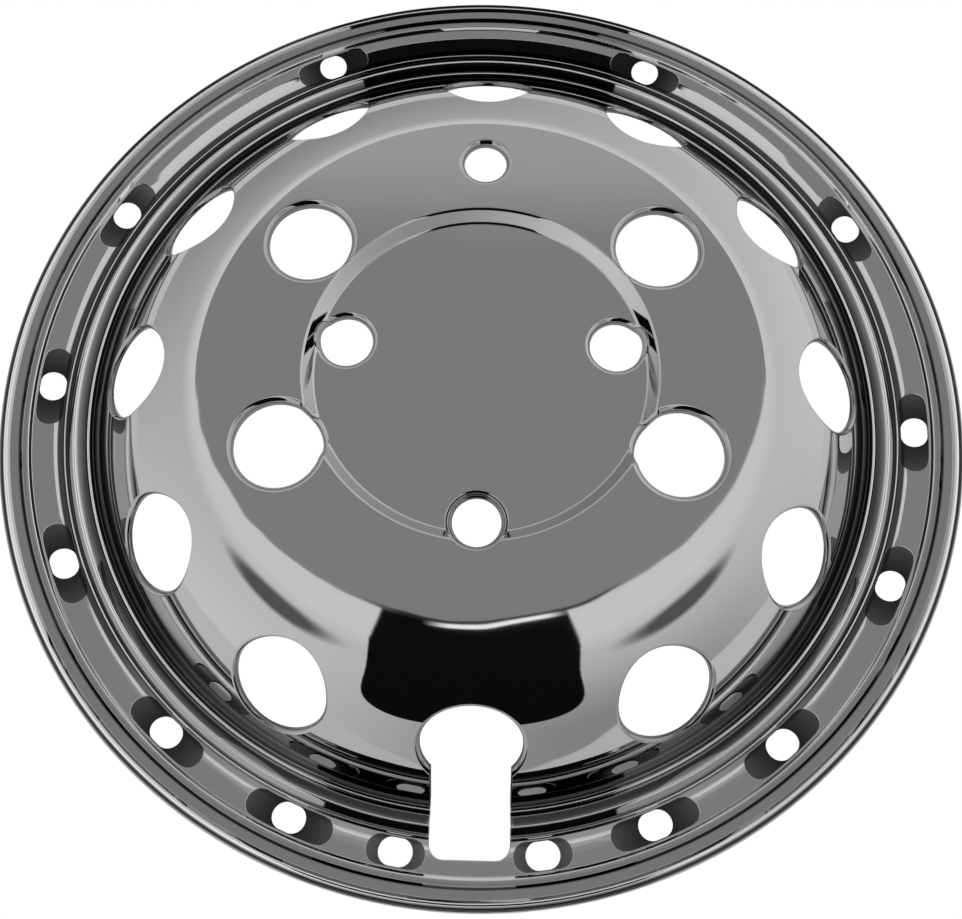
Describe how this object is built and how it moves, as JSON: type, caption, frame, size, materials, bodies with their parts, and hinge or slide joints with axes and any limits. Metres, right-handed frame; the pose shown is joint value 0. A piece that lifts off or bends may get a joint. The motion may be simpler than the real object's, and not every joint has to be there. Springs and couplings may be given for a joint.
{
  "type": "truck wheel simulator",
  "caption": "Stamped, polished one-piece cover for a truck wheel: flanged rim with clip holes, domed wall with hand holes and a valve slot, and a flat disc with drawn lug nut holes.",
  "frame": {"origin": "centre of the wheel axis on the surface that the cover lies on, under the valley ring", "axes": "+Z along the wheel axis, out of the dome; -Y towards the valve slot"},
  "size_m": [0.44, 0.44, 0.039],
  "materials": {
    "polished_sheet": "mirror polished stainless sheet"
  },
  "bodies": {
    "root": {"wheel_simulator": "polished_sheet"}
  },
  "joints": []
}
